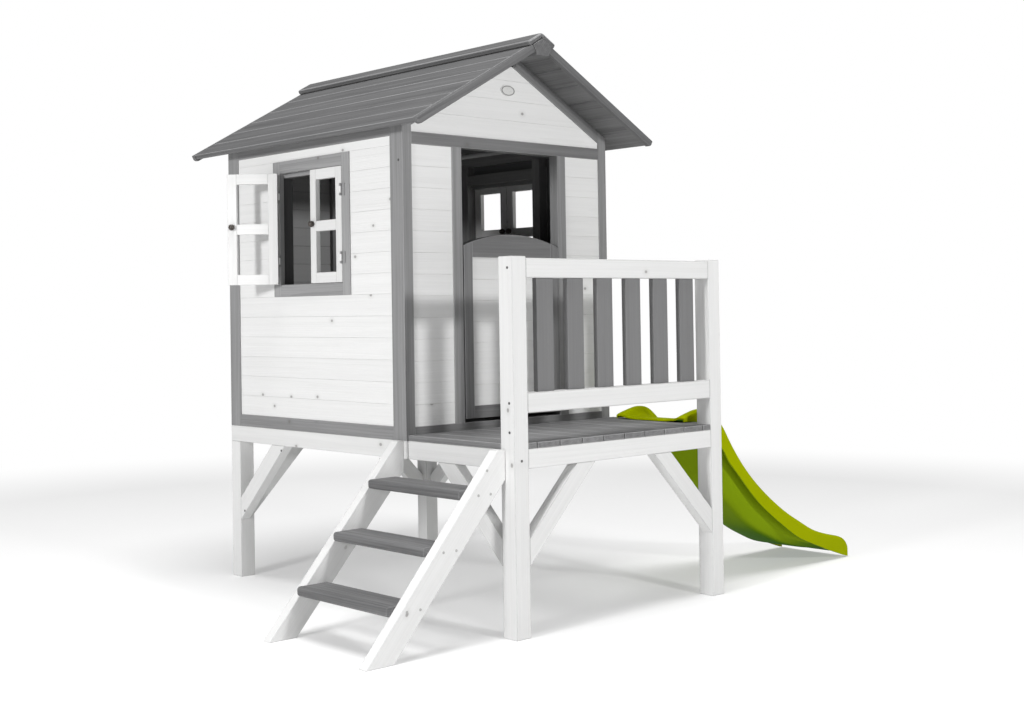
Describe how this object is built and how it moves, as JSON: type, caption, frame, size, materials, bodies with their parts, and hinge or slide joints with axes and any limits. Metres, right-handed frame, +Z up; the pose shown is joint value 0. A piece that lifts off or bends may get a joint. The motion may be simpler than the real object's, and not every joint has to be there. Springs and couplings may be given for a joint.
{
  "type": "playhouse",
  "caption": "Wooden playhouse on legs with a railed veranda, open stair, arched half door, side windows with hinged leaves and a curved plastic slide.",
  "frame": {"origin": "centre of the whole footprint on the ground", "axes": "+X towards the foot of the slide, -Y towards the veranda rail, +Z up"},
  "size_m": [2.383, 1.648, 1.8866],
  "materials": {
    "white_wood": "thin white stain over planed softwood",
    "grey_wood": "grey stain over planed softwood",
    "roof_wood": "dark grey stain over softwood boards",
    "deck_wood": "dark grey stain over softwood boards",
    "slide_plastic": "lime green moulded plastic",
    "steel": "zinc plated",
    "knob": "dark turned knob"
  },
  "bodies": {
    "playhouse": {"back_legs": "white_wood", "veranda_posts": "white_wood", "house_beams": "white_wood", "veranda_beams": "white_wood", "corner_braces": "white_wood", "veranda_deck_boards": "deck_wood", "house_floor_boards": "deck_wood", "corner_posts": "grey_wood", "door_posts": "grey_wood", "front_wall_rails": "grey_wood", "front_wall_boards": "white_wood", "back_wall_rails": "grey_wood", "back_wall_boards": "white_wood", "left_wall_rails": "grey_wood", "left_wall_boards": "white_wood", "left_window_frame": "grey_wood", "left_window_studs": "grey_wood", "right_wall_rails": "grey_wood", "right_wall_boards": "white_wood", "right_window_frame": "grey_wood", "right_window_studs": "grey_wood", "front_gable_boards": "white_wood", "back_gable_boards": "white_wood", "gable_plate": "white_wood", "rafters": "grey_wood", "ridge_beam": "roof_wood", "roof_boards_left": "roof_wood", "roof_boards_right": "roof_wood", "bargeboards": "roof_wood", "ridge_caps": "roof_wood", "stair_stringers": "white_wood", "stair_treads": "deck_wood", "guard_rails": "white_wood", "guard_slats": "grey_wood", "slide": "slide_plastic", "frame_screws": "steel", "stair_screws": "steel", "window_hinge_plates": "steel", "door_hinge_plates": "steel"},
    "door": {"door_frame": "grey_wood", "door_boards": "white_wood", "door_hinge_leaves": "steel"},
    "left_window_back": {"left_window_back_leaf": "white_wood", "left_window_back_knobs": "knob", "left_window_back_hinges": "steel"},
    "left_window_front": {"left_window_front_leaf": "white_wood", "left_window_front_knobs": "knob", "left_window_front_hinges": "steel"},
    "right_window_back": {"right_window_back_leaf": "white_wood", "right_window_back_knobs": "knob", "right_window_back_hinges": "steel"},
    "right_window_front": {"right_window_front_leaf": "white_wood", "right_window_front_knobs": "knob", "right_window_front_hinges": "steel"}
  },
  "joints": [
    {"name": "door_hinge", "type": "hinge", "parent": "playhouse", "child": "door", "pos_m": [0.02375, -0.293, 0.9], "axis": [0, 0, 1], "range_deg": [-105, 0]},
    {"name": "left_window_back_hinge", "type": "hinge", "parent": "playhouse", "child": "left_window_back", "pos_m": [-0.6795, 0.35225, 1.263], "axis": [0, 0, 1], "range_deg": [-25, 135]},
    {"name": "left_window_front_hinge", "type": "hinge", "parent": "playhouse", "child": "left_window_front", "pos_m": [-0.6795, -0.01025, 1.263], "axis": [0, 0, 1], "range_deg": [0, 160]},
    {"name": "right_window_back_hinge", "type": "hinge", "parent": "playhouse", "child": "right_window_back", "pos_m": [0.2805, 0.35225, 1.263], "axis": [0, 0, 1], "range_deg": [0, 160]},
    {"name": "right_window_front_hinge", "type": "hinge", "parent": "playhouse", "child": "right_window_front", "pos_m": [0.2805, -0.01025, 1.263], "axis": [0, 0, 1], "range_deg": [-160, 0]}
  ]
}
